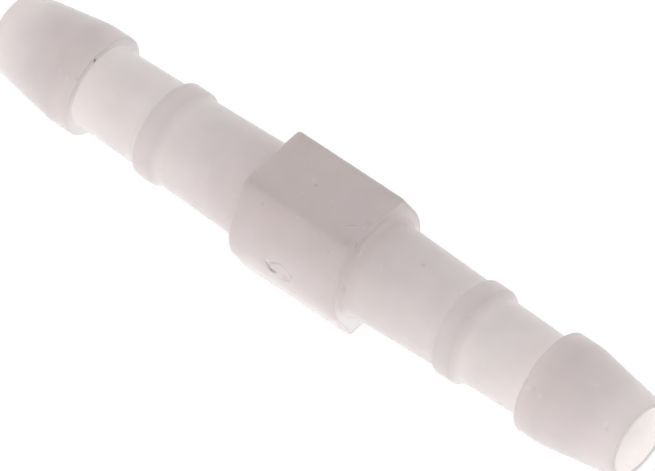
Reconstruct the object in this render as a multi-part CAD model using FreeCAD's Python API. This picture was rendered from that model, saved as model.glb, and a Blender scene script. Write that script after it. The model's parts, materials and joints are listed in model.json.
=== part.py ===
"""Straight double-ended hose connector, one injection moulding in natural translucent plastic.

Millimetres. +X runs along the bore and +Z is square to the upper flat of the collar. The origin is on
the bore's axis, midway between the two mouths.
"""
import FreeCAD, Part
import math
import os

# Lengths along the bore
OVERALL_LENGTH = 65.0
COLLAR_LENGTH = 10.9
BARB_LENGTH = 9.2
LAND_LENGTH = 2.2
RIDGE_FROM_MIDDLE = 15.6
RIDGE_FOOT_WIDTH = 2.7
RIDGE_TOP_WIDTH = 1.6

# Diameters of the tube, the same on both tails
BORE_DIAMETER = 6.0
TIP_DIAMETER = 6.75
BARB_DIAMETER = 9.0
RIDGE_DIAMETER = 8.55
NECK_DIAMETER_AT_BARB = 7.2
NECK_DIAMETER_OUTSIDE_RIDGE = 7.55
NECK_DIAMETER_INSIDE_RIDGE = 7.9
NECK_DIAMETER_AT_COLLAR = 8.5

# The collar: a round barrel with a raised flat above and below
BARREL_DIAMETER = 10.8
ACROSS_FLATS = 11.1
FLAT_WIDTH = 6.4

# Edges: the small ones are broken by a bevel, the larger ones are rounded
MOUTH_BEVEL = 0.1
RIM_BEVEL = 0.12
BARB_CREST_BEVEL = 0.12
COLLAR_FOOT_BEVEL = 0.3
CONE_START_RADIUS = 5.0
RIDGE_TOP_RADIUS = 0.45
COLLAR_EDGE_RADIUS = 0.25
FLAT_EDGE_RADIUS = 0.6

# The scar where the gate was broken off, on the parting line at the middle of the barrel
SCAR_LENGTH = 2.3
SCAR_HEIGHT = 1.7
SCAR_DEPTH = 0.12

ORIGIN = FreeCAD.Vector(0, 0, 0)
ALONG = FreeCAD.Vector(1, 0, 0)
SIDEWAYS = FreeCAD.Vector(0, 1, 0)
UP = FreeCAD.Vector(0, 0, 1)


def in_profile(x, radius):
    """A point of the tube's profile, which lies above the bore's axis."""
    return FreeCAD.Vector(x, 0, radius)


def in_section(y, z):
    """A point of the collar's cross-section, at the middle of the part."""
    return FreeCAD.Vector(0, y, z)


def corner_arc(before, corner, after, radius):
    """Both ends and the middle of the arc that rounds a corner between two straight edges."""
    to_before = (before - corner).normalize()
    to_after = (after - corner).normalize()
    half_angle = to_before.getAngle(to_after) / 2
    inwards = (to_before + to_after).normalize()
    reach = radius / math.tan(half_angle)
    to_middle = radius / math.sin(half_angle) - radius
    return corner + to_before * reach, corner + inwards * to_middle, corner + to_after * reach


def rounded_outline(corners):
    """Closed wire of straight edges through (point, radius) corners, each rounded by a tangent arc."""
    points = [point for point, radius in corners]
    edges = []
    start = None
    for i, (point, radius) in enumerate(corners):
        before = points[i - 1]
        after = points[(i + 1) % len(points)]
        if radius > 0:
            arc_start, arc_middle, arc_end = corner_arc(before, point, after, radius)
        else:
            arc_start = arc_end = point
        if start is None:
            first = arc_start
        else:
            edges.append(Part.makeLine(start, arc_start))
        if radius > 0:
            edges.append(Part.Arc(arc_start, arc_middle, arc_end).toShape())
        start = arc_end
    edges.append(Part.makeLine(start, first))
    return Part.Wire(edges)


def tail_corners():
    """The outside of one tail, from the collar's end face out to the rim, with each corner's radius."""
    mouth = OVERALL_LENGTH / 2
    shoulder = mouth - BARB_LENGTH
    barb = BARB_DIAMETER / 2
    tip = TIP_DIAMETER / 2
    bore = BORE_DIAMETER / 2
    ridge = RIDGE_DIAMETER / 2
    foot = NECK_DIAMETER_AT_COLLAR / 2
    end_face = COLLAR_LENGTH / 2
    return [
        (in_profile(end_face, foot + COLLAR_FOOT_BEVEL), 0),
        (in_profile(end_face + COLLAR_FOOT_BEVEL, foot), 0),
        (in_profile(RIDGE_FROM_MIDDLE - RIDGE_FOOT_WIDTH / 2, NECK_DIAMETER_INSIDE_RIDGE / 2), 0),
        (in_profile(RIDGE_FROM_MIDDLE - RIDGE_TOP_WIDTH / 2, ridge), RIDGE_TOP_RADIUS),
        (in_profile(RIDGE_FROM_MIDDLE + RIDGE_TOP_WIDTH / 2, ridge), RIDGE_TOP_RADIUS),
        (in_profile(RIDGE_FROM_MIDDLE + RIDGE_FOOT_WIDTH / 2, NECK_DIAMETER_OUTSIDE_RIDGE / 2), 0),
        (in_profile(shoulder, NECK_DIAMETER_AT_BARB / 2), 0),
        (in_profile(shoulder, barb - BARB_CREST_BEVEL), 0),
        (in_profile(shoulder + BARB_CREST_BEVEL, barb), 0),
        (in_profile(shoulder + LAND_LENGTH, barb), CONE_START_RADIUS),
        (in_profile(mouth - RIM_BEVEL, tip), 0),
        (in_profile(mouth, tip - RIM_BEVEL), 0),
        (in_profile(mouth, bore + MOUTH_BEVEL), 0),
        (in_profile(mouth - MOUTH_BEVEL, bore), 0),
    ]


def mirrored(corners):
    """The same corners on the other tail, in the order that carries the outline on."""
    return [(in_profile(-point.x, point.z), radius) for point, radius in reversed(corners)]


def tube():
    """Both tails and the wall between them, turned about the bore's axis."""
    tail = tail_corners()
    profile = Part.Face(rounded_outline(tail + mirrored(tail)))
    return profile.revolve(ORIGIN, ALONG, 360)


def collar_section():
    """A round barrel with a flat above and below; each flat's edge runs down straight to touch the barrel."""
    barrel = BARREL_DIAMETER / 2
    corner = in_section(FLAT_WIDTH / 2, ACROSS_FLATS / 2)
    touch_angle = math.atan2(corner.z, corner.y) - math.acos(barrel / corner.Length)
    touch = in_section(barrel * math.cos(touch_angle), barrel * math.sin(touch_angle))
    flat_middle = in_section(0, corner.z)
    flat_end, edge_middle, flank_start = corner_arc(flat_middle, corner, touch, FLAT_EDGE_RADIUS)
    upper = [
        Part.Arc(flat_end, edge_middle, flank_start).toShape(),
        Part.makeLine(flank_start, touch),
    ]
    lower = [edge.mirror(ORIGIN, UP) for edge in upper]
    side = upper + lower + [Part.Arc(touch, in_section(barrel, 0), in_section(touch.y, -touch.z)).toShape()]
    other_side = [edge.mirror(ORIGIN, SIDEWAYS) for edge in side]
    upper_flat = Part.makeLine(flat_end, in_section(-flat_end.y, flat_end.z))
    lower_flat = upper_flat.mirror(ORIGIN, UP)
    return Part.Wire(Part.__sortEdges__(side + other_side + [upper_flat, lower_flat]))


def collar():
    """The section drawn out along the bore with its end edges rounded, around a hole inside the tube's wall."""
    end_face = COLLAR_LENGTH / 2
    block = Part.Face(collar_section()).extrude(ALONG * COLLAR_LENGTH)
    block.translate(ALONG * -end_face)
    end_edges = [edge for edge in block.Edges if abs(edge.CenterOfMass.x) > end_face - COLLAR_EDGE_RADIUS]
    block = block.makeFillet(COLLAR_EDGE_RADIUS, end_edges)
    mid_wall = (BORE_DIAMETER + NECK_DIAMETER_AT_COLLAR) / 4
    return block.cut(Part.makeCylinder(mid_wall, COLLAR_LENGTH, ALONG * -end_face, ALONG))


def scar_cutter():
    """An oval peg that leaves a shallow flat-bottomed scar on the -Y side of the barrel."""
    floor = BARREL_DIAMETER / 2 - SCAR_DEPTH
    oval = Part.Ellipse(ORIGIN, SCAR_LENGTH / 2, SCAR_HEIGHT / 2).toShape()
    oval.rotate(ORIGIN, ALONG, 90)
    oval.translate(SIDEWAYS * -floor)
    return Part.Face(Part.Wire([oval])).extrude(SIDEWAYS * (-2 * SCAR_DEPTH))


def connector():
    """The whole moulding."""
    return tube().fuse(collar()).cut(scar_cutter()).removeSplitter()


os.makedirs("parts", exist_ok=True)
connector().exportStep("parts/connector_body.step")
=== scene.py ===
"""A straight moulded hose connector in natural translucent plastic, on a white stage."""
import json
import math

import bpy
import numpy as np
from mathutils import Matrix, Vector


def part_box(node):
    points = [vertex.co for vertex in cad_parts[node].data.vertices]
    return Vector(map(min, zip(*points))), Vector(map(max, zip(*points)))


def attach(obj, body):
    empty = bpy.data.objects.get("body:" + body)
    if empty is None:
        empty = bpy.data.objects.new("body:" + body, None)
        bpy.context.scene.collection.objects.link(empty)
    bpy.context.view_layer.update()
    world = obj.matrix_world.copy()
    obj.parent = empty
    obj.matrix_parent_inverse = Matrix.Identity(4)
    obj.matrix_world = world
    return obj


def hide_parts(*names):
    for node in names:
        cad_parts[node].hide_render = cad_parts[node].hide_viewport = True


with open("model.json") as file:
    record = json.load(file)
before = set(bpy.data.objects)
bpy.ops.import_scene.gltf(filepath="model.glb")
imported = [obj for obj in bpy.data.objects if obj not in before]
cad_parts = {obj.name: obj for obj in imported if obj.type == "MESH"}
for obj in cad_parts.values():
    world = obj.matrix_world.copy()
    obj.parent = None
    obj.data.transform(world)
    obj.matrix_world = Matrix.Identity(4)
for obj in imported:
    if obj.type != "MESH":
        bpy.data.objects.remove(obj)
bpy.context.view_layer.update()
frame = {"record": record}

bl_info = {
    "name": "Hose connector",
    "version": (1, 0, 0),
    "blender": (4, 5, 0),
    "location": "View3D > Sidebar > Connector",
    "description": "Makes a barbed hose connector in translucent plastic and the stage it is shown on",
    "category": "Add Mesh",
}

NODE = "connector_body"
SLOT = "natural_plastic"
LOWEST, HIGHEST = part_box(NODE)
MOUNTS = {mount["name"]: mount for mount in frame["record"]["mounts"]}
MM = 0.001

# The photograph's frame, where the part's middle shows in it, how much of the part a pixel spans, and how far
# the camera sees in metres
PHOTO_WIDTH = 655
PHOTO_HEIGHT = 471
MIDDLE_PIXEL = (324.5, 232.85)
SENSOR_WIDTH = 36.0
METRES_PER_PIXEL = 0.0000789
FARTHEST_SEEN = 10.0

# How finely the surface is divided: the longest step along the tails, how many times longer it is in the
# bore, the longest step on the flanks beside the flats, and the runs in a rounded corner of a tail's outline
ROW_STEP = 0.33 * MM
BORE_STEPS = 4
FLANK_STEP = 0.3 * MM
LEAST_ARC_RUNS = 4
WIDEST_ARC_RUN = math.radians(15)

# Rows on half of the collar, and columns on a quarter of its outline
SCAR_ROWS = 28
SIDE_ROWS = 12
END_ROUND_ROWS = 7
END_FACE_ROWS = 8
FLAT_COLUMNS = 12
FLAT_EDGE_COLUMNS = 9
BARREL_COLUMNS = 9
BARREL_COLUMNS_BY_SCAR = 6
SCAR_COLUMNS = 20

# The power with which a flat's columns draw closer towards its edge, and the share of the scar's length and
# height, out from its middle, that gets the scar's own rows and columns
FLAT_CROWDING = 1.6
SCAR_MARGIN = 0.65

# How far above the neck the end faces start, in radii of the collar's foot, and how far into the bore the
# tail's outline goes
FOOT_START = 1.2
MOUTH_DEPTH = 1.0 * MM

# The gate scar, with 1 its outline: where its floor ends, and how far and how much painted shade darkens
# its wall
SCAR_FLOOR = 0.9
SCAR_WALL_REACH = 0.07
SCAR_WALL_SHADE = 0.22

# Painted shade on the tube beside the collar, which is coloured as if thicker: ways from the end face
# with the radius whose colour it has, as a share of the barrel's, and the way at which it has its own again
BESIDE_COLLAR = ((0.0, 0.97), (0.4 * MM, 0.88))
NECK_CLEAR = 1.1 * MM

# The wall's look changes over a ridge's flank and a barb's crest, and fades with this power of its thickness
FLANK_BLEND = 0.3 * MM
CREST_BLEND = 0.12 * MM
WALL_POWER = 1.2

# Share of the relief that counts for the painted shade and light on the thinnest edges, and how far those
# reach: in from the end faces, in radii of the end rounding, and in from the mouth
THIN_EDGE = 0.3
THIN_END_ROUNDS = 1.2
THIN_RIM = 0.4 * MM

# Painted shade in the faint crease on the neck beside a barb's shoulder
CREASE_REACH = 0.35 * MM
CREASE_SHADE = 0.03

# How far off its place a row may lie and still count as the bore's or as a shoulder's, and how far above the
# neck a shoulder's rows start
BORE_SLACK = 0.0003 * MM
SHOULDER_SLACK = 0.03 * MM
SHOULDER_START = 0.1 * MM

# Curves, as places in millimetres and the value at each. A tone is a factor on the plastic's colour, and the
# others are shares of its pale colour. They run by x, y or z, out from the part's middle or in from the
# mouth. They were set from how bright bands of the photograph are beside the render's, so they carry light
# and shade of that one view as well as the plastic's own colour. So the tones are partly painted light and
# shade: the collar's sides lighter low down and at the back and darker on top and towards its ends, the end
# faces darker on top and lighter at the back, the shoulders darker, the tails darker at the mouths, the left
# tail lighter and the bore lighter further in. The pale shares are a painted glow towards the table and back
SIDE_TONE_BY_Z = ((-3.0, 0.0, 2.0, 4.0, 5.2), (1.2, 1.07, 1.06, 0.97, 0.93))
SIDE_TONE_BY_Y = ((0.5, 2.5), (1.0, 1.03))
SIDE_TONE_FROM_MIDDLE = ((3.4, 4.4, 5.3), (1.0, 0.96, 0.93))
END_FACE_TONE_BY_Z = ((-3.0, 0.0, 1.7, 3.5, 4.5), (1.05, 1.0, 0.97, 0.93, 0.885))
END_FACE_TONE_BY_Y = ((0.0, 2.5), (1.0, 1.06))
SHOULDER_TONE_BY_Z = ((-1.5, 0.5, 2.0), (0.88, 0.82, 0.755))
SHOULDER_TONE_BY_Y = ((0.0, 3.0), (1.0, 1.08))
TAIL_TONE_FROM_MOUTH = ((0.0, 1.2, 2.6, 4.7, 6.0, 8.5), (0.78, 0.82, 0.86, 0.93, 0.98, 0.99))
TAIL_TONE_BY_X = ((-31.5, -29.5, -27.5, -23.5, -22.5, -6.0, -5.0), (1.08, 1.04, 1.0, 1.0, 1.022, 1.028, 1.0))
BORE_TONE_FROM_MOUTH = ((0.0, 0.8, 1.6, 2.8), (0.9, 0.94, 1.03, 1.14))
TUBE_PALE_BY_Z = ((-2.5, -1.0, 0.5), (0.65, 0.12, 0.0))
SIDE_PALE_BY_Z = ((-4.5, -2.5, -1.7, -0.4, 1.5, 3.2), (0.4, 0.28, 0.2, 0.14, 0.13, 0.0))
END_FACE_PALE_BY_Z = ((-3.0, 0.0, 1.5), (0.9, 0.3, 0.05))
END_FACE_PALE_BY_Y = ((1.0, 3.0), (0.0, 0.25))
END_FACE_PALEST = 0.9
SHOULDER_PALE_BY_Z = ((-2.0, 1.5), (0.85, 0.1))
SHOULDER_PALE_BY_Y = ((1.0, 3.0), (0.0, 0.5))

# Spans of the noise over which the brightness, the tint and the roughness go from end to end, and the heights
# of the surface's waves and marks as multiples of the grain's
BRIGHTNESS_SPAN = (0.25, 0.75)
TINT_SPAN = (0.35, 0.65)
ROUGHNESS_SPAN = (0.3, 0.7)
WAVE_HEIGHT = 5.0
MARK_HEIGHT = 12.0

# A mark is full out to the first share of its half sizes and gone at the second
MARK_SPAN = (0.2, 1.15)

# Marks on the moulding: middle and half sizes in millimetres, turn about the vertical in degrees, and by what
# share the plastic is lighter (above nought) or darker there. The shares are partly the plastic's own specks
# and partly painted light and shade: glints and the lit and shaded sides of small pits and scratches. Each
# was picked in the photograph, and its middle is where that spot lies on the surface
MARKS_AND_PAINTED_SHADING = (
    ((-23.30, -0.89, 3.95), (0.19, 0.20, 0.28), 0, -0.88),
    ((-25.00, -3.05, 3.30), (0.12, 0.35, 0.35), 0, 0.07),
    ((-24.75, -3.40, 2.90), (0.12, 0.30, 0.30), 0, 0.07),
    ((-24.20, -3.20, 3.15), (0.14, 0.28, 0.28), 0, 0.07),
    ((-23.45, -2.95, 3.40), (0.16, 0.25, 0.25), 0, -0.09),
    ((-0.65, -0.26, 5.55), (0.20, 0.17, 0.20), 0, -0.22),
    ((-1.15, 0.02, 5.55), (0.34, 0.14, 0.20), -35, 0.08),
    ((-1.04, -1.53, 5.55), (0.26, 0.09, 0.20), 30, 0.11),
    ((1.35, -0.74, 5.55), (0.15, 0.15, 0.20), 0, 0.08),
    ((5.00, -0.50, 5.55), (0.38, 0.34, 0.30), 0, -0.08),
    ((-3.17, -3.79, 4.42), (0.24, 0.20, 0.24), 0, -0.11),
    ((0.23, -3.42, 5.13), (0.28, 0.12, 0.12), 20, 0.14),
    ((2.12, -3.61, 4.77), (0.18, 0.18, 0.18), 0, 0.07),
    ((3.75, -3.91, 4.19), (0.24, 0.24, 0.24), 0, -0.07),
    ((5.50, -4.15, 1.20), (0.30, 0.40, 0.40), 0, -0.09),
    ((4.21, -1.53, 5.55), (0.44, 0.08, 0.20), 38, -0.22),
    ((4.29, -1.66, 5.55), (0.38, 0.07, 0.20), 38, 0.12),
    ((5.45, -2.55, 5.05), (0.20, 0.30, 0.55), 0, -0.16),
    ((5.45, -2.18, 3.92), (0.20, 0.14, 0.20), 0, -0.14),
    ((5.56, -2.10, 3.66), (0.16, 0.14, 0.14), 0, 0.14),
    ((10.27, -0.05, 4.08), (0.26, 0.22, 0.22), 0, -0.14),
    ((7.57, -2.00, 3.67), (0.16, 0.16, 0.16), 0, 0.07),
    ((14.35, -0.16, 4.00), (0.16, 0.16, 0.16), 0, 0.12),
    ((16.27, -1.43, 4.02), (0.24, 0.10, 0.14), 40, 0.08),
    ((23.42, -2.85, 3.48), (0.14, 0.18, 0.18), 0, 0.15),
    ((23.60, -3.20, 3.15), (0.14, 0.30, 0.30), 0, -0.08),
    ((23.90, -3.44, 2.90), (0.22, 0.22, 0.22), 0, 0.07),
    ((24.43, -3.30, 3.05), (0.18, 0.28, 0.28), 0, -0.07),
    ((25.10, -3.45, 2.90), (0.34, 0.32, 0.32), 0, 0.07),
    ((28.37, -0.40, 4.02), (0.24, 0.09, 0.10), 30, 0.11),
    ((31.13, -2.44, 2.64), (0.22, 0.22, 0.22), 0, -0.09),
    ((30.81, -2.23, 2.89), (0.20, 0.20, 0.20), 0, 0.07),
)

# Painted shade and highlights along the gate scar's broken edge: points as (x, z) and width in millimetres,
# and by what share the plastic is lighter (above nought), as a painted highlight, or darker, as painted shade
SCAR_SHADE_AND_HIGHLIGHT_STROKES = (
    (((-1.37, 0.19), (-1.14, -0.37), (-0.87, -0.50), (-0.52, -0.48)), 0.13, -0.34),
    (((-1.10, -0.36), (-0.87, -0.52), (-0.55, -0.50)), 0.10, -0.20),
    (((-0.90, 0.42), (-0.54, 0.64), (-0.08, 0.89), (0.31, 0.79), (0.71, 0.63), (1.15, 0.34)), 0.12, -0.30),
    (((0.40, -0.31), (0.46, -0.31)), 0.22, -0.18),
    (((-1.31, 0.45), (-1.28, 0.46)), 0.10, 0.45),
    (((-0.90, -0.16), (-0.88, -0.17)), 0.11, 0.14),
    (((-1.01, -1.00), (-0.99, -1.00)), 0.12, 0.12),
    (((-0.55, -0.78), (-0.03, -0.78)), 0.11, 0.12),
)

# Gap under the part, so that the table's light reaches the flat that lies on it
FLOOR_GAP = 0.03 * MM


def length(name, description, default):
    """A length in metres, shown in the user's own unit."""
    return bpy.props.FloatProperty(
        name=name, description=description, default=default, min=0.0,
        subtype="DISTANCE", unit="LENGTH", precision=5)


def share(name, description, default):
    """A number from 0 to 1, shown as a slider."""
    return bpy.props.FloatProperty(
        name=name, description=description, default=default, min=0.0, max=1.0, subtype="FACTOR")


def colour(name, description, default):
    """A colour, given as linear red, green and blue."""
    return bpy.props.FloatVectorProperty(
        name=name, description=description, default=default, size=3, min=0.0, max=1.0, subtype="COLOR")


def power(name, description, default):
    """A lamp's power in watts."""
    return bpy.props.FloatProperty(
        name=name, description=description, default=default, min=0.0, subtype="POWER", unit="POWER")


def strength(name, description, default):
    """The strength of an even light."""
    return bpy.props.FloatProperty(name=name, description=description, default=default, min=0.0)


def degrees(name, description, default):
    """An angle, whose default is given in degrees."""
    return bpy.props.FloatProperty(
        name=name, description=description, default=math.radians(default), subtype="ANGLE", unit="ROTATION")


class ConnectorSizes(bpy.types.PropertyGroup):
    """Sizes of the moulding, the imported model's own where it states them."""

    overall_length: length("Overall length", "From mouth to mouth", HIGHEST[0] - LOWEST[0])
    bore_radius: length("Bore radius", "Inside of the tube", MOUNTS["bore"]["dims"]["r_mm"] * MM)
    barb_radius: length("Barb radius", "Widest part of the tails", MOUNTS["barb_plus_x"]["dims"]["r_mm"] * MM)
    barrel_radius: length("Barrel radius", "Round part of the collar", HIGHEST[1])
    flat_height: length("Flat height", "From the axis to each flat", HIGHEST[2])
    flat_width: length("Flat width", "Across each flat, edge to edge", 6.4 * MM)
    collar_length: length("Collar length", "Along the bore", 10.9 * MM)
    barb_length: length("Barb length", "From the shoulder to the mouth", 9.2 * MM)
    land_length: length("Land length", "Cylindrical part of the barb", 2.2 * MM)
    tip_radius: length("Tip radius", "Outside of the tube at its mouth", 3.375 * MM)
    ridge_radius: length("Ridge radius", "Top of the low ridge on each tail", 4.275 * MM)
    ridge_from_middle: length("Ridge place", "From the middle of the part to the ridge", 15.6 * MM)
    ridge_foot: length("Ridge foot", "Width of the ridge where it meets the tube", 2.7 * MM)
    ridge_top: length("Ridge top", "Width of the ridge at its top", 1.6 * MM)
    neck_at_barb: length("Neck at the barb", "Radius of the tube behind the barb", 3.6 * MM)
    neck_outside_ridge: length("Neck outside the ridge", "Radius of the tube", 3.775 * MM)
    neck_inside_ridge: length("Neck inside the ridge", "Radius of the tube", 3.95 * MM)
    neck_at_collar: length("Neck at the collar", "Radius of the tube", 4.25 * MM)
    end_round: length("End rounding", "Radius along the collar's end edges", 0.25 * MM)
    collar_foot: length("Collar foot", "Where the tube meets the collar's end faces", 0.3 * MM)
    fine_round: length("Fine rounding", "Radius along the barbs' shoulders and the mouths' edges", 0.12 * MM)
    ridge_foot_round: length("Ridge foot rounding", "Radius where each ridge meets the tube", 0.36 * MM)
    ridge_top_round: length("Ridge top rounding", "Radius along each ridge's top edges", 0.48 * MM)
    cone_round: length("Cone rounding", "Radius where each barb's land turns into its cone", 5.0 * MM)
    flat_round: length("Flat rounding", "Radius along each flat's two long edges", 0.6 * MM)
    scar_length: length("Scar length", "Gate scar, along the bore", 2.3 * MM)
    scar_height: length("Scar height", "Gate scar, around the barrel", 1.7 * MM)
    scar_depth: length("Scar depth", "How far the gate scar is sunk", 0.12 * MM)


class PlasticLook(bpy.types.PropertyGroup):
    """Colours and finish of the natural plastic."""

    # Painted light: pale is a glow near the table, inside fills the bore, thin is partly light through the
    # wall
    thin: colour("Thin wall", "Colour where the wall is thinnest", (0.668, 0.602, 0.599))
    thick: colour("Thick wall", "Colour where the wall is thickest", (0.512, 0.432, 0.431))
    pale: colour("Pale", "Colour of the thin edges and of the sides near the table", (0.66, 0.64, 0.64))
    inside: colour("Inside", "Colour of the bore's wall, which the light fills", (0.80, 0.755, 0.742))
    thinnest: length("Thinnest wall", "Wall that shows the thin colour in full", 0.65 * MM)
    fade: length("Fade", "Added wall in which the thin colour falls to about a third", 1.0 * MM)
    roughness: share("Roughness", "Roughness of the moulded surface", 0.5)
    roughness_spread: share("Roughness spread", "How far the roughness goes either way with the clouds", 0.07)
    refraction: bpy.props.FloatProperty(
        name="Refraction", description="Index of refraction of the plastic", default=1.5, min=1.0)
    gloss: share("Gloss", "Strength of the reflections, 0.5 is the refraction's own", 0.35)
    translucency: share("Translucency", "Share of the light that goes through the plastic", 1.0)
    scatter: length("Scatter", "How far the light spreads inside the plastic", 2.2 * MM)
    # Painted shade on the edges and painted light in the creases, each times the relief
    painted_edge_shade: share("Edge tone", "How much darker the edges are than the light alone leaves them", 0.2)
    painted_crease_light: share("Crease tone", "How much lighter the creases are than the light leaves them", 0.03)
    cloudiness: share("Cloudiness", "How much the plastic's brightness varies from place to place", 0.06)
    cloud_size: length("Cloud size", "Size of the lighter and darker clouds", 2.5 * MM)
    tint_size: length("Tint size", "Size of the warmer and cooler clouds", 6.0 * MM)
    pinker: colour("Pinker", "Tint of the plastic's warmer clouds", (1.0, 0.99, 0.988))
    greyer: colour("Greyer", "Tint of the plastic's cooler clouds", (0.992, 1.0, 0.994))
    grain: length("Grain", "Height of the moulded surface's fine grain", 0.002 * MM)
    grain_size: length("Grain size", "Size of the fine grain's lumps", 0.35 * MM)
    wave_size: length("Wave size", "Size of the surface's soft waves", 1.8 * MM)
    sheen: share("Sheen", "Light that the edges of the outline catch", 0.26)
    sheen_tint: colour("Sheen tint", "Colour of that light", (0.92, 1.0, 0.98))
    sheen_roughness: share("Sheen roughness", "How far that light reaches in from the outline", 0.5)
    soften: length("Soften", "Reach over which the surface is smoothed to find edges and creases", 0.5 * MM)


class StageLook(bpy.types.PropertyGroup):
    """Light, floor and camera."""

    daylight: strength("Daylight", "Even light from all sides, 1 shows colours as written", 0.886)
    front_power: power("Front lamp", "Power of the soft lamp on the side that faces the camera", 0.483)
    lamp_length: length("Lamp length", "Long side of the soft lamp", 0.6)
    lamp_width: length("Lamp width", "Short side of the soft lamp", 0.24)
    lamp_distance: length("Lamp distance", "From the part sideways to the soft lamp", 0.7)
    lamp_height: length("Lamp height", "From the part's middle up to the soft lamp", 0.13)
    table_light: strength("Table light", "Strength of the light that the table throws on the part", 1.13)
    table_shown: share("Table shown", "Strength of the table's own light in the picture", 0.84)
    table_grey: share("Table grey", "The table's own colour, which the part's shadow darkens", 0.2)
    floor_reach: length("Floor reach", "From the part to each side of the floor", 2.0)
    azimuth: degrees("Azimuth", "Camera's turn about the vertical", 40.75)
    elevation: degrees("Elevation", "Camera's angle above the floor", 50.0)
    lens: bpy.props.FloatProperty(
        name="Lens", description="Focal length in millimetres", default=825.0, min=1.0,
        subtype="DISTANCE_CAMERA", unit="CAMERA")


# Outlines


def rounded_path(corners, step):
    """Points along a path of straight runs with round corners.

    corners are (x, y, radius). Each corner's arc touches both runs at radius / tan(half the inner angle) from
    the corner, and its centre lies on the bisector. step is the longest distance between two points.
    """
    place = np.array([corner[:2] for corner in corners], float)
    parts = [place[:1]]
    radii = [corner[2] for corner in corners[1:-1]]
    for before, at, after, radius in zip(place, place[1:], place[2:], radii):
        if radius <= 0:
            parts.append(at[None])
            continue
        back = (before - at) / np.linalg.norm(before - at)
        on = (after - at) / np.linalg.norm(after - at)
        half = math.acos(float(np.clip(back @ on, -1, 1))) / 2
        middle = (back + on) / np.linalg.norm(back + on)
        centre = at + middle * radius / math.sin(half)
        start = at + back * radius / math.tan(half) - centre
        turn = math.pi - 2 * half
        sign = math.copysign(1.0, float(back[0] * on[1] - back[1] * on[0]))
        runs = max(LEAST_ARC_RUNS, math.ceil(turn / WIDEST_ARC_RUN))
        angle = -sign * turn * np.linspace(0, 1, runs + 1)
        parts.append(centre + np.stack([
            start[0] * np.cos(angle) - start[1] * np.sin(angle),
            start[0] * np.sin(angle) + start[1] * np.cos(angle)], axis=1))
    parts.append(place[-1:])
    return spaced(np.concatenate(parts), step)


def spaced(line, step):
    """The same line with points added evenly on each run that is longer than step."""
    runs = np.linalg.norm(np.diff(line, axis=0), axis=1)
    counts = np.maximum(1, np.ceil(runs / step)).astype(int)
    index = np.repeat(np.arange(len(runs)), counts)
    first = np.repeat(np.cumsum(counts) - counts, counts)
    part = (np.arange(len(index)) - first) / counts[index]
    points = line[index] + part[:, None] * (line[index + 1] - line[index])
    return np.concatenate([points, line[-1:]])


def side_by_side(*columns):
    """Columns joined to a table; a single number is held all the way down."""
    return np.stack(np.broadcast_arrays(*columns), axis=1)


def tail_profile(sizes, step):
    """The outside of one tail as (x, radius): neck, ridge, neck, barb shoulder, land, cone, rim and mouth."""
    mouth = sizes.overall_length / 2
    shoulder = mouth - sizes.barb_length
    end_face = sizes.collar_length / 2
    ridge, half_foot, half_top = sizes.ridge_from_middle, sizes.ridge_foot / 2, sizes.ridge_top / 2
    corners = [
        (end_face, sizes.neck_at_collar + FOOT_START * sizes.collar_foot, 0),
        (end_face, sizes.neck_at_collar, sizes.collar_foot),
        (ridge - half_foot, sizes.neck_inside_ridge, sizes.ridge_foot_round),
        (ridge - half_top, sizes.ridge_radius, sizes.ridge_top_round),
        (ridge + half_top, sizes.ridge_radius, sizes.ridge_top_round),
        (ridge + half_foot, sizes.neck_outside_ridge, sizes.ridge_foot_round),
        (shoulder, sizes.neck_at_barb, sizes.fine_round),
        (shoulder, sizes.barb_radius, sizes.fine_round),
        (shoulder + sizes.land_length, sizes.barb_radius, sizes.cone_round),
        (mouth, sizes.tip_radius, sizes.fine_round),
        (mouth, sizes.bore_radius, sizes.fine_round),
        (mouth - MOUTH_DEPTH, sizes.bore_radius, 0),
    ]
    return rounded_path(corners, step)


def quarter_section(sizes, scarred):
    """A quarter of the collar's outline, from the middle of the upper flat down to the side.

    Each point is (y, z, outward y, outward z). The flat ends in an arc, the flank runs from the arc straight
    to where it touches the barrel, and the barrel is a circle about the bore, with closer points by the scar.
    """
    corner = np.array([sizes.flat_width / 2, sizes.flat_height])
    reach = np.linalg.norm(corner)
    touch = math.atan2(corner[1], corner[0]) - math.acos(sizes.barrel_radius / reach)
    turn = math.pi / 2 - touch
    shift = sizes.flat_round * math.tan(turn / 2)
    centre = np.array([corner[0] - shift, corner[1] - sizes.flat_round])
    flat_y = centre[0] * (1 - (1 - np.linspace(0, 1, FLAT_COLUMNS, endpoint=False)) ** FLAT_CROWDING)
    flat = side_by_side(flat_y, corner[1], 0, 1)
    angle = np.linspace(math.pi / 2, touch, FLAT_EDGE_COLUMNS)
    way = np.stack([np.cos(angle), np.sin(angle)], axis=1)
    edge = np.concatenate([centre + sizes.flat_round * way, way], axis=1)
    facing = np.array([math.cos(touch), math.sin(touch)])
    flank = spaced(np.stack([edge[-1, :2], sizes.barrel_radius * facing]), FLANK_STEP)[1:-1]
    flank = np.concatenate([flank, np.tile(facing, (len(flank), 1))], axis=1)
    near_scar = SCAR_MARGIN * sizes.scar_height / sizes.barrel_radius if scarred else 0
    angle = np.concatenate([
        np.linspace(touch, near_scar, BARREL_COLUMNS_BY_SCAR if scarred else BARREL_COLUMNS, endpoint=False),
        np.linspace(near_scar, 0, SCAR_COLUMNS if scarred else 0, endpoint=False), [0]])
    way = np.stack([np.cos(angle), np.sin(angle)], axis=1)
    barrel = np.concatenate([sizes.barrel_radius * way, way], axis=1)
    return np.concatenate([flat, edge, flank, barrel])


def whole_section(sizes):
    """The collar's outline all round, from the upper flat's middle: a quarter and its mirror images."""
    halves = []
    for scarred in (False, True):
        quarter = quarter_section(sizes, scarred)
        lower = quarter[-2::-1] * [1, -1, 1, -1]
        halves.append(np.concatenate([quarter, lower]))
    plain, marked = halves
    return np.concatenate([plain, marked[-2:0:-1] * [-1, 1, -1, 1]])


# Surface


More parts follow.
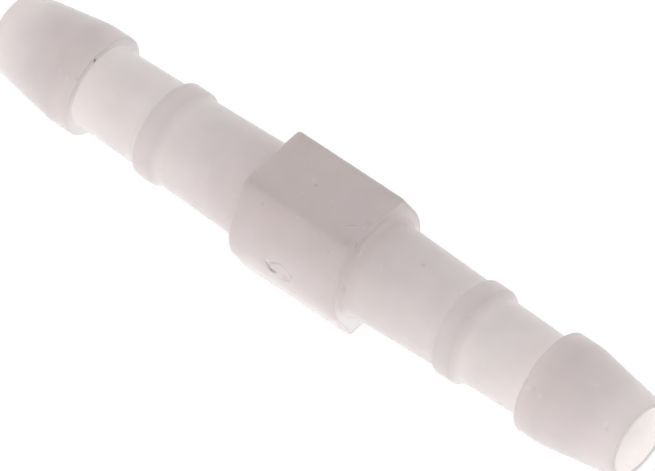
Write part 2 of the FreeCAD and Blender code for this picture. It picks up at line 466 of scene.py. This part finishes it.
def body_rows(sizes, step):
    """Every row of the moulding's grid as (x, radius, part, inset), once round the wall.

    part is 0 on the tube, 1 on the collar's sides and between them on the collar's end faces. inset is how
    far the collar's end rounding lies inside its outline.
    """
    tail = tail_profile(sizes, step)
    end_face, root = sizes.collar_length / 2, tail[0, 1]
    near_scar = SCAR_MARGIN * sizes.scar_length
    side_x = np.concatenate([
        np.linspace(end_face - sizes.end_round, near_scar, SIDE_ROWS)[1:],
        np.linspace(near_scar, 0, SCAR_ROWS)[1:]])
    angle = np.linspace(0, math.pi / 2, END_ROUND_ROWS)
    round_x = end_face - sizes.end_round * (1 - np.cos(angle))
    climb = np.linspace(0, 1, END_FACE_ROWS, endpoint=False)
    bore_x = spaced(np.array([[tail[-1, 0], 0], [0, 0]]), BORE_STEPS * step)[1:, 0]
    half = np.concatenate([
        side_by_side(side_x, root, 1, 0)[::-1],
        side_by_side(round_x, root, 1, sizes.end_round * (1 - np.sin(angle)))[::-1],
        side_by_side(end_face, root, climb, climb * sizes.end_round)[::-1],
        side_by_side(tail[1:, 0], tail[1:, 1], 0, 0),
        side_by_side(bore_x, sizes.bore_radius, 0, 0),
    ])
    other = half[-2:0:-1] * [-1, 1, 1, 1]
    return np.concatenate([half, other])


def body_grid(rows, section):
    """Points of the moulding: x from the row; y and z from the tube's circle or the collar's outline.

    With C the unit circle at the outline point S and N its outward direction, a point is
    (1 - part) * radius * C + part * S - inset * N.
    """
    x, radius, part, inset = (column[:, None, None] for column in rows.T)
    outline, outward = section[None, :, :2], section[None, :, 2:]
    circle = outline / np.linalg.norm(outline, axis=2, keepdims=True)
    across = (1 - part) * radius * circle + part * outline - inset * outward
    along = np.broadcast_to(x, across.shape[:2] + (1,))
    return np.concatenate([along, across], axis=2)


def scar_ways(points, sizes):
    """Each point's distance from the scar's middle over the oval's own radius in that direction."""
    return np.hypot(points[..., 0] / (sizes.scar_length / 2), points[..., 2] / (sizes.scar_height / 2))


def scarred_side(points, rows):
    """Whether each point lies on the -Y half of the collar's sides, which carries the scar."""
    return (rows[:, None, 2] == 1) & (points[..., 1] < 0)


def sink_scar(points, rows, sizes):
    """Sinks the gate scar into the -Y side of the barrel.

    With q the scar_ways, the depth is full where q is under SCAR_FLOOR and eases to nothing at q = 1.
    """
    wall = np.clip((1 - scar_ways(points, sizes)) / (1 - SCAR_FLOOR), 0, 1)
    ease = wall * wall * (3 - 2 * wall)
    points[..., 1] += np.where(scarred_side(points, rows), ease * sizes.scar_depth, 0)
    return points


def bore_rows(rows, sizes):
    """Whether each row lies in the bore."""
    return rows[:, 1:2] < sizes.bore_radius + BORE_SLACK


def shoulder_rows(rows, sizes):
    """Whether each row lies on a barb's shoulder, clear of the neck."""
    shoulder = sizes.overall_length / 2 - sizes.barb_length
    at_place = np.abs(np.abs(rows[:, :1]) - shoulder) < SHOULDER_SLACK
    return at_place & (rows[:, 1:2] > sizes.neck_at_barb + SHOULDER_START)


def read_off(curve, way):
    """A curve's value at each way, given in metres: straight between its places and level beyond them."""
    places, values = curve
    return np.interp(way / MM, places, values)


def wall_thinness(points, rows, section, sizes, look):
    """Share of thin-wall colour at each point, from 0 in the thickest wall to 1 at the rims.

    The wall is a radius less the bore's. On the collar and its end faces the radius is that of the collar's
    outline. On the tube it is read off along the bore, so that a ridge's flanks count as ridge and a barb's
    shoulder as neck, and it falls from nearly the collar's to the neck's over NECK_CLEAR, which paints shade
    on the tube beside the collar. The thin-wall colour is partly painted light through the wall. The share is
    exp(-((wall - thinnest) / fade)^WALL_POWER).
    """
    mouth = sizes.overall_length / 2
    shoulder = mouth - sizes.barb_length
    end_face = sizes.collar_length / 2
    ridge_start = sizes.ridge_from_middle - sizes.ridge_foot / 2
    ridge_end = sizes.ridge_from_middle + sizes.ridge_foot / 2
    profile = [(end_face + way, part * sizes.barrel_radius) for way, part in BESIDE_COLLAR]
    profile += [
        (end_face + NECK_CLEAR, sizes.neck_at_collar),
        (ridge_start - FLANK_BLEND, sizes.neck_inside_ridge),
        (ridge_start + FLANK_BLEND, sizes.ridge_radius),
        (ridge_end - FLANK_BLEND, sizes.ridge_radius),
        (ridge_end + FLANK_BLEND, sizes.neck_outside_ridge),
        (shoulder, sizes.neck_at_barb),
        (shoulder + CREST_BLEND, sizes.barb_radius),
        (shoulder + sizes.land_length, sizes.barb_radius),
        (mouth, sizes.tip_radius),
    ]
    on_tube = np.interp(np.abs(points[..., 0]), *zip(*profile))
    outline = np.hypot(section[:, 0], section[:, 1])[None, :]
    wall = np.where(rows[:, None, 2] > 0, outline, on_tube) - sizes.bore_radius
    return np.exp(-(np.maximum(wall - look.thinnest, 0) / look.fade) ** WALL_POWER)


def loop_weights(steps, reach):
    """Weights that smooth values round a closed line: exp(-(way between points / reach)^2 / 2), shared out.

    steps holds the way from each point to the next.
    """
    place = np.cumsum(steps) - steps
    way = np.abs(place[:, None] - place[None, :])
    way = np.minimum(way, steps.sum() - way)
    weights = np.exp(-0.5 * (way / reach) ** 2) * (steps + np.roll(steps, 1))
    return weights / weights.sum(axis=1, keepdims=True)


def relief(points, reach):
    """How far each point stands out of the smoothed surface over the reach, below nought in a crease.

    The smoothed surface is the grid with each row and column smoothed by loop_weights. The distance is taken
    along the normal, which is the cross product of the grid's two central differences.
    """
    down = np.linalg.norm(np.roll(points, -1, axis=0) - points, axis=2).mean(axis=1)
    right = np.linalg.norm(np.roll(points, -1, axis=1) - points, axis=2).mean(axis=0)
    smooth = np.einsum("ij,jkc->ikc", loop_weights(down, reach), points)
    smooth = np.einsum("kl,ilc->ikc", loop_weights(right, reach), smooth)
    normal = np.cross(
        np.roll(points, -1, axis=0) - np.roll(points, 1, axis=0),
        np.roll(points, -1, axis=1) - np.roll(points, 1, axis=1))
    normal /= np.linalg.norm(normal, axis=2, keepdims=True)
    return ((points - smooth) * normal).sum(axis=2) / reach


def stroke(points, path, width):
    """1 on a stroke and falling off beside it: exp(-(distance in x and z / width)^2).

    The distance is the least of those to the path's straight runs.
    """
    at = points[..., (0, 2)]
    path = np.array(path) * MM
    nearest = np.full(at.shape[:2], np.inf)
    for start, end in zip(path, path[1:]):
        run = end - start
        part = np.clip(((at - start) @ run) / (run @ run), 0, 1)
        nearest = np.minimum(nearest, np.linalg.norm(at - start - part[..., None] * run, axis=2))
    return np.exp(-(nearest / (width * MM)) ** 2)


def relief_painted_shade_and_light(points, rows, sizes, look):
    """Painted shade on edges, 1 - painted_edge_shade * relief, and painted light in creases, 1 -
    painted_crease_light * relief.

    On the collar's end edges and the mouths' rims, which are thin enough to let more light through, only the
    share THIN_EDGE of the relief counts.
    """
    stands_out = relief(points, look.soften)
    along = np.abs(points[..., 0])
    at_end_edge = along > sizes.collar_length / 2 - THIN_END_ROUNDS * sizes.end_round
    at_end_edge &= rows[:, None, 2] > 0
    at_rim = along > sizes.overall_length / 2 - THIN_RIM
    stands_out = np.where(at_end_edge | at_rim, THIN_EDGE * stands_out, stands_out)
    return 1 - np.where(stands_out > 0, look.painted_edge_shade, look.painted_crease_light) * stands_out


def collar_tone(points, rows, section):
    """Tone on the collar, partly painted light and shade, read off the curves for its sides and end faces.

    The flats don't share the sides' fall with the height. With n the upward part of a side's outward
    direction, up or down, the share of that fall goes from all at n = 0.5 to none at n = 1.
    """
    y, z = points[..., 1], points[..., 2]
    flatness = np.clip(2 * np.abs(section[None, :, 3]) - 1, 0, 1)
    side = flatness + (1 - flatness) * read_off(SIDE_TONE_BY_Z, z)
    side *= read_off(SIDE_TONE_FROM_MIDDLE, np.abs(points[..., 0])) * read_off(SIDE_TONE_BY_Y, y)
    end_face = read_off(END_FACE_TONE_BY_Z, z) * read_off(END_FACE_TONE_BY_Y, y)
    part = rows[:, None, 2]
    return np.select([part == 1, part > 0], [side, end_face], 1.0)


def tail_tone(points, rows, sizes):
    """Tone on the tails, read off the curves along them and for the barbs' shoulders.

    The curves' tones are partly painted light and shade. The faint crease on the neck beside a shoulder is
    painted shade, 1 - CREASE_SHADE * exp(-(way / CREASE_REACH)^2).
    """
    from_mouth = sizes.overall_length / 2 - np.abs(points[..., 0])
    behind = (from_mouth - sizes.barb_length) / CREASE_REACH
    crease = np.where(behind > 0, CREASE_SHADE * np.exp(-behind ** 2), 0)
    shoulder = read_off(SHOULDER_TONE_BY_Z, points[..., 2]) * read_off(SHOULDER_TONE_BY_Y, points[..., 1])
    tone = np.where(shoulder_rows(rows, sizes), shoulder, 1 - crease)
    return tone * read_off(TAIL_TONE_FROM_MOUTH, from_mouth) * read_off(TAIL_TONE_BY_X, points[..., 0])


def scar_painted_shade_and_highlights(points, rows, sizes):
    """Painted shade and highlights round the gate scar, on the side that carries it.

    With q the scar_ways and m the middle of the scar's wall, it is 1 - SCAR_WALL_SHADE *
    exp(-((q - m) / SCAR_WALL_REACH)^2), times 1 + shade * stroke for each stroke.
    """
    off_wall = (scar_ways(points, sizes) - (1 + SCAR_FLOOR) / 2) / SCAR_WALL_REACH
    tone = 1 - SCAR_WALL_SHADE * np.exp(-off_wall ** 2)
    for path, width, shade in SCAR_SHADE_AND_HIGHLIGHT_STROKES:
        tone *= 1 + shade * stroke(points, path, width)
    return np.where(scarred_side(points, rows), tone, 1.0)


def surface_tone(points, rows, section, sizes, look):
    """Factor on the plastic's colour at each point, 1 on the plain tube, partly painted light and shade.

    Outside it is the product of the tones of the relief, the collar, the tails and the scar. In the bore it
    is read off the way in from the mouth.
    """
    outside = relief_painted_shade_and_light(points, rows, sizes, look) * collar_tone(points, rows, section)
    outside *= tail_tone(points, rows, sizes) * scar_painted_shade_and_highlights(points, rows, sizes)
    in_bore = read_off(BORE_TONE_FROM_MOUTH, sizes.overall_length / 2 - np.abs(points[..., 0]))
    return np.where(bore_rows(rows, sizes), in_bore, outside)


def painted_glow_share(points, rows, sizes):
    """Share of the pale colour at each point, a painted glow that grows towards the table.

    It is read off the height on the tube and on the collar's sides. On the collar's end faces and the barbs'
    shoulders a share that grows towards the back is added. From 1 on the plastic is wholly pale.
    """
    y, z = points[..., 1], points[..., 2]
    end_face = np.minimum(read_off(END_FACE_PALE_BY_Z, z) + read_off(END_FACE_PALE_BY_Y, y), END_FACE_PALEST)
    shoulder = read_off(SHOULDER_PALE_BY_Z, z) + read_off(SHOULDER_PALE_BY_Y, y)
    part = rows[:, None, 2]
    return np.select(
        [part == 1, part > 0, shoulder_rows(rows, sizes)],
        [read_off(SIDE_PALE_BY_Z, z), end_face, shoulder], read_off(TUBE_PALE_BY_Z, z))


def closed_grid_faces(rows, columns):
    """Quads of a grid that closes on itself both ways."""
    index = np.arange(rows * columns).reshape(rows, columns)
    down = np.roll(index, -1, axis=0)
    right = np.roll(index, -1, axis=1)
    both = np.roll(down, -1, axis=1)
    return np.stack([index, down, both, right], axis=-1).reshape(-1, 4)


def mesh_from_grid(name, points):
    """A mesh object at the origin from a grid of points that closes both ways."""
    faces = closed_grid_faces(*points.shape[:2])
    mesh = bpy.data.meshes.new(name)
    mesh.vertices.add(points.shape[0] * points.shape[1])
    mesh.vertices.foreach_set("co", points.reshape(-1).astype(np.float32))
    mesh.loops.add(faces.size)
    mesh.loops.foreach_set("vertex_index", faces.reshape(-1).astype(np.int32))
    mesh.polygons.add(len(faces))
    mesh.polygons.foreach_set("loop_start", np.arange(0, faces.size, 4, dtype=np.int32))
    mesh.update(calc_edges=True)
    mesh.validate()
    mesh.shade_smooth()
    piece = bpy.data.objects.new(name, mesh)
    bpy.context.scene.collection.objects.link(piece)
    return piece


# Material


def new_material(name):
    """A material with only a Principled shader and its output."""
    material = bpy.data.materials.new(name)
    material.use_nodes = True
    tree = material.node_tree
    return material, tree, tree.nodes["Principled BSDF"]


def point_value(tree, name):
    """The surface's own value of that name."""
    node = tree.nodes.new("ShaderNodeAttribute")
    node.attribute_name = name
    return node.outputs["Fac"]


def mixed(tree, factor, low, high):
    """A colour that goes from low to high with a factor; each may be a colour or a node's output."""
    node = tree.nodes.new("ShaderNodeMix")
    node.data_type = "RGBA"
    tree.links.new(factor, node.inputs["Factor"])
    for socket, value in ((node.inputs["A"], low), (node.inputs["B"], high)):
        if isinstance(value, tuple):
            socket.default_value = value
        else:
            tree.links.new(value, socket)
    return node.outputs["Result"]


def worked(tree, operation, first, second):
    """Two values added or multiplied; the second may be a number."""
    node = tree.nodes.new("ShaderNodeMath")
    node.operation = operation
    tree.links.new(first, node.inputs[0])
    if isinstance(second, float):
        node.inputs[1].default_value = second
    else:
        tree.links.new(second, node.inputs[1])
    return node.outputs[0]


def vector_worked(tree, operation, first, second, socket):
    """Two colours multiplied, or a colour scaled by a value, which goes into the socket that is given."""
    node = tree.nodes.new("ShaderNodeVectorMath")
    node.operation = operation
    tree.links.new(first, node.inputs[0])
    tree.links.new(second, node.inputs[socket])
    return node.outputs["Vector"]


def ranged(tree, value, span, low, high):
    """A value that goes from low to high while another goes through the span, and stays put outside it."""
    node = tree.nodes.new("ShaderNodeMapRange")
    node.interpolation_type = "SMOOTHSTEP"
    node.inputs["From Min"].default_value, node.inputs["From Max"].default_value = span
    node.inputs["To Min"].default_value, node.inputs["To Max"].default_value = low, high
    tree.links.new(value, node.inputs["Value"])
    return node.outputs["Result"]


def noise(tree, place, size, detail):
    """Soft noise, mostly between 0.3 and 0.7, whose lumps are about size across."""
    node = tree.nodes.new("ShaderNodeTexNoise")
    node.inputs["Scale"].default_value = 1 / size
    node.inputs["Detail"].default_value = detail
    tree.links.new(place, node.inputs["Vector"])
    return node.outputs["Fac"]


def marked(tree, place):
    """The sum of the MARKS_AND_PAINTED_SHADING at a place, each full in its ellipsoid's middle and gone just past its edge."""
    total = None
    for middle, half_sizes, turn, shade in MARKS_AND_PAINTED_SHADING:
        mapping = tree.nodes.new("ShaderNodeMapping")
        mapping.vector_type = "TEXTURE"
        mapping.inputs["Location"].default_value = Vector(middle) * MM
        mapping.inputs["Rotation"].default_value = (0, 0, math.radians(turn))
        mapping.inputs["Scale"].default_value = Vector(half_sizes) * MM
        tree.links.new(place, mapping.inputs["Vector"])
        way = tree.nodes.new("ShaderNodeVectorMath")
        way.operation = "LENGTH"
        tree.links.new(mapping.outputs["Vector"], way.inputs[0])
        mark = ranged(tree, way.outputs["Value"], MARK_SPAN, shade, 0.0)
        total = mark if total is None else worked(tree, "ADD", total, mark)
    return total


def plastic(look):
    """Natural plastic: lighter where the wall is thin, faintly cloudy, with a fine grain and a few marks.

    The outside colour goes from thick to thin and then to pale by the surface's own values, and is tinted by
    the clouds. The thin colour is partly painted light through the wall and the pale one a painted glow. The
    bore's wall has the inside colour, painted light in the bore. The tone, the clouds and the marks scale
    both;
    the tone is partly painted light and shade, and the marks partly painted glints and shade.
    """
    material, tree, shader = new_material(SLOT)
    links = tree.links
    place = tree.nodes.new("ShaderNodeTexCoord").outputs["Object"]
    clouds = noise(tree, place, look.cloud_size, detail=5.0)
    marks = marked(tree, place)

    swing = look.cloudiness / 2
    tone = worked(tree, "MULTIPLY", point_value(tree, "tone"),
                  ranged(tree, clouds, BRIGHTNESS_SPAN, 1 - swing, 1 + swing))
    tone = worked(tree, "MULTIPLY", tone, worked(tree, "ADD", marks, 1.0))
    outside = mixed(tree, point_value(tree, "thinness"), (*look.thick, 1), (*look.thin, 1))
    outside = mixed(tree, point_value(tree, "painted_glow_share"), outside, (*look.pale, 1))
    warmth = ranged(tree, noise(tree, place, look.tint_size, detail=3.0), TINT_SPAN, 0.0, 1.0)
    tint = mixed(tree, warmth, (*look.pinker, 1), (*look.greyer, 1))
    outside = vector_worked(tree, "MULTIPLY", outside, tint, 1)
    both = mixed(tree, point_value(tree, "inside"), outside, (*look.inside, 1))
    links.new(vector_worked(tree, "SCALE", both, tone, "Scale"), shader.inputs["Base Color"])

    rough = ranged(tree, clouds, ROUGHNESS_SPAN, look.roughness - look.roughness_spread,
                   look.roughness + look.roughness_spread)
    links.new(rough, shader.inputs["Roughness"])
    waves = worked(tree, "MULTIPLY", noise(tree, place, look.wave_size, detail=2.0), WAVE_HEIGHT)
    height = worked(tree, "ADD", noise(tree, place, look.grain_size, detail=3.0), waves)
    height = worked(tree, "ADD", height, worked(tree, "MULTIPLY", marks, MARK_HEIGHT))
    bump = tree.nodes.new("ShaderNodeBump")
    bump.inputs["Strength"].default_value = 1.0
    bump.inputs["Distance"].default_value = look.grain
    links.new(height, bump.inputs["Height"])
    links.new(bump.outputs["Normal"], shader.inputs["Normal"])

    shader.inputs["IOR"].default_value = look.refraction
    shader.inputs["Specular IOR Level"].default_value = look.gloss
    shader.inputs["Sheen Weight"].default_value = look.sheen
    shader.inputs["Sheen Roughness"].default_value = look.sheen_roughness
    shader.inputs["Sheen Tint"].default_value = (*look.sheen_tint, 1)
    shader.subsurface_method = "BURLEY"
    shader.inputs["Subsurface Weight"].default_value = look.translucency
    shader.inputs["Subsurface Radius"].default_value = (1.0, 1.0, 1.0)
    shader.inputs["Subsurface Scale"].default_value = look.scatter
    return material


# Stage


def two_levels(tree, lighting, shown):
    """A strength that is lighting for the rays that light the part, and shown for what the camera sees.

    Rays off a gloss or through a clear piece get what the camera gets.
    """
    path = tree.nodes.new("ShaderNodeLightPath")
    total = path.outputs["Is Camera Ray"]
    for other in ("Is Glossy Ray", "Is Transmission Ray"):
        add = tree.nodes.new("ShaderNodeMath")
        add.operation = "ADD"
        add.use_clamp = True
        tree.links.new(total, add.inputs[0])
        tree.links.new(path.outputs[other], add.inputs[1])
        total = add.outputs[0]
    level = tree.nodes.new("ShaderNodeMapRange")
    level.inputs["To Min"].default_value = lighting
    level.inputs["To Max"].default_value = shown
    tree.links.new(total, level.inputs["Value"])
    return level.outputs["Result"]


def white_world(world, daylight):
    """Even daylight for the part, and plain white for what is seen."""
    world.use_nodes = True
    tree = world.node_tree
    light = tree.nodes["Background"]
    light.inputs["Color"].default_value = (1, 1, 1, 1)
    tree.links.new(two_levels(tree, daylight, 1.0), light.inputs["Strength"])


def light_table(look):
    """The floor: a white pane lit from below, which takes only a faint shadow."""
    material, tree, shader = new_material("light_table")
    shader.inputs["Base Color"].default_value = (look.table_grey, look.table_grey, look.table_grey, 1)
    shader.inputs["Roughness"].default_value = 1.0
    shader.inputs["Specular IOR Level"].default_value = 0.0
    shader.inputs["Emission Color"].default_value = (1, 1, 1, 1)
    tree.links.new(two_levels(tree, look.table_light, look.table_shown), shader.inputs["Emission Strength"])
    return material


def soft_lamp(scene, look):
    """A wide, low rectangular lamp that stands in front of the part and faces it."""
    light = bpy.data.lights.new("front_lamp", "AREA")
    light.shape = "RECTANGLE"
    light.size = look.lamp_length
    light.size_y = look.lamp_width
    light.energy = look.front_power
    lamp = bpy.data.objects.new("front_lamp", light)
    lamp.location = Vector((0.0, -look.lamp_distance, look.lamp_height))
    lamp.rotation_mode = "QUATERNION"
    lamp.rotation_quaternion = (-lamp.location).to_track_quat("-Z", "Y")
    scene.collection.objects.link(lamp)


def floor_plane(scene, look):
    """A square floor just under the part."""
    half = look.floor_reach
    low = LOWEST[2] - FLOOR_GAP
    corners = [(-half, -half, low), (half, -half, low), (half, half, low), (-half, half, low)]
    mesh = bpy.data.meshes.new("floor")
    mesh.from_pydata(corners, [], [(0, 1, 2, 3)])
    mesh.materials.append(light_table(look))
    floor = bpy.data.objects.new("floor", mesh)
    scene.collection.objects.link(floor)
    return floor


def photo_camera(scene, look):
    """A camera that sees the part from the photograph's angle, at the size and place that it has there.

    It stands lens / sensor width * frame width in pixels * metres per pixel away from the part's middle.
    """
    around, up = look.azimuth, look.elevation
    back = Vector((math.sin(around) * math.cos(up), -math.cos(around) * math.cos(up), math.sin(up)))
    camera = bpy.data.cameras.new("camera")
    camera.sensor_width = SENSOR_WIDTH
    camera.lens = look.lens
    camera.clip_end = FARTHEST_SEEN
    camera.shift_x = (PHOTO_WIDTH / 2 - MIDDLE_PIXEL[0]) / PHOTO_WIDTH
    camera.shift_y = (MIDDLE_PIXEL[1] - PHOTO_HEIGHT / 2) / PHOTO_WIDTH
    eye = bpy.data.objects.new("camera", camera)
    eye.location = back * (look.lens / SENSOR_WIDTH * PHOTO_WIDTH * METRES_PER_PIXEL)
    eye.rotation_mode = "QUATERNION"
    eye.rotation_quaternion = (-back).to_track_quat("-Z", "Y")
    scene.collection.objects.link(eye)
    return eye


# Operators and panel


class CONNECTOR_OT_moulding(bpy.types.Operator):
    """Make the connector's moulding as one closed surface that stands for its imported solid"""

    bl_idname = "connector.moulding"
    bl_label = "Moulding"

    def execute(self, context):
        sizes = context.scene.connector_sizes
        look = context.scene.connector_plastic
        rows = body_rows(sizes, ROW_STEP)
        section = whole_section(sizes)
        points = body_grid(rows, section)
        # The tone is partly painted light and shade, the pale share a painted glow, the thinness partly
        # painted light
        values = {
            "thinness": wall_thinness(points, rows, section, sizes, look),
            "tone": surface_tone(points, rows, section, sizes, look),
            "painted_glow_share": painted_glow_share(points, rows, sizes),
            "inside": np.repeat(bore_rows(rows, sizes) * 1.0, len(section), axis=1),
        }
        piece = mesh_from_grid("connector_moulding", sink_scar(points, rows, sizes))
        for name, value in values.items():
            attribute = piece.data.attributes.new(name, "FLOAT", "POINT")
            attribute.data.foreach_set("value", value.reshape(-1).astype(np.float32))
        piece.data.materials.append(plastic(look))
        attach(piece, "root")
        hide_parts(NODE)
        return {"FINISHED"}


class CONNECTOR_OT_stage(bpy.types.Operator):
    """Make the white floor, the soft light and the camera"""

    bl_idname = "connector.stage"
    bl_label = "Stage"

    def execute(self, context):
        look = context.scene.connector_stage
        scene = context.scene
        scene.view_settings.view_transform = "Standard"
        scene.world = bpy.data.worlds.new("white_surround")
        white_world(scene.world, look.daylight)
        floor = floor_plane(scene, look)
        soft_lamp(scene, look)
        scene.camera = photo_camera(scene, look)
        return {"FINISHED"}


class CONNECTOR_PT_sidebar(bpy.types.Panel):
    """Lists what the add-on makes, and its sizes and colours"""

    bl_idname = "CONNECTOR_PT_sidebar"
    bl_label = "Hose connector"
    bl_space_type = "VIEW_3D"
    bl_region_type = "UI"
    bl_category = "Connector"

    def draw(self, context):
        scene = context.scene
        for operator in OPERATORS:
            self.layout.operator(operator.bl_idname)
        for group in (scene.connector_sizes, scene.connector_plastic, scene.connector_stage):
            box = self.layout.box()
            for name in type(group).__annotations__:
                box.prop(group, name)


OPERATORS = (CONNECTOR_OT_moulding, CONNECTOR_OT_stage)
CLASSES = (ConnectorSizes, PlasticLook, StageLook, *OPERATORS, CONNECTOR_PT_sidebar)


def register():
    """Registers the classes and hangs the property groups on the scene."""
    for cls in CLASSES:
        bpy.utils.register_class(cls)
    bpy.types.Scene.connector_sizes = bpy.props.PointerProperty(type=ConnectorSizes)
    bpy.types.Scene.connector_plastic = bpy.props.PointerProperty(type=PlasticLook)
    bpy.types.Scene.connector_stage = bpy.props.PointerProperty(type=StageLook)


def unregister():
    """Takes the property groups and classes off again."""
    del bpy.types.Scene.connector_stage
    del bpy.types.Scene.connector_plastic
    del bpy.types.Scene.connector_sizes
    for cls in reversed(CLASSES):
        bpy.utils.unregister_class(cls)


def main():
    """Makes the part and its stage."""
    register()
    bpy.ops.connector.moulding()
    bpy.ops.connector.stage()


if __name__ == "__main__":
    main()
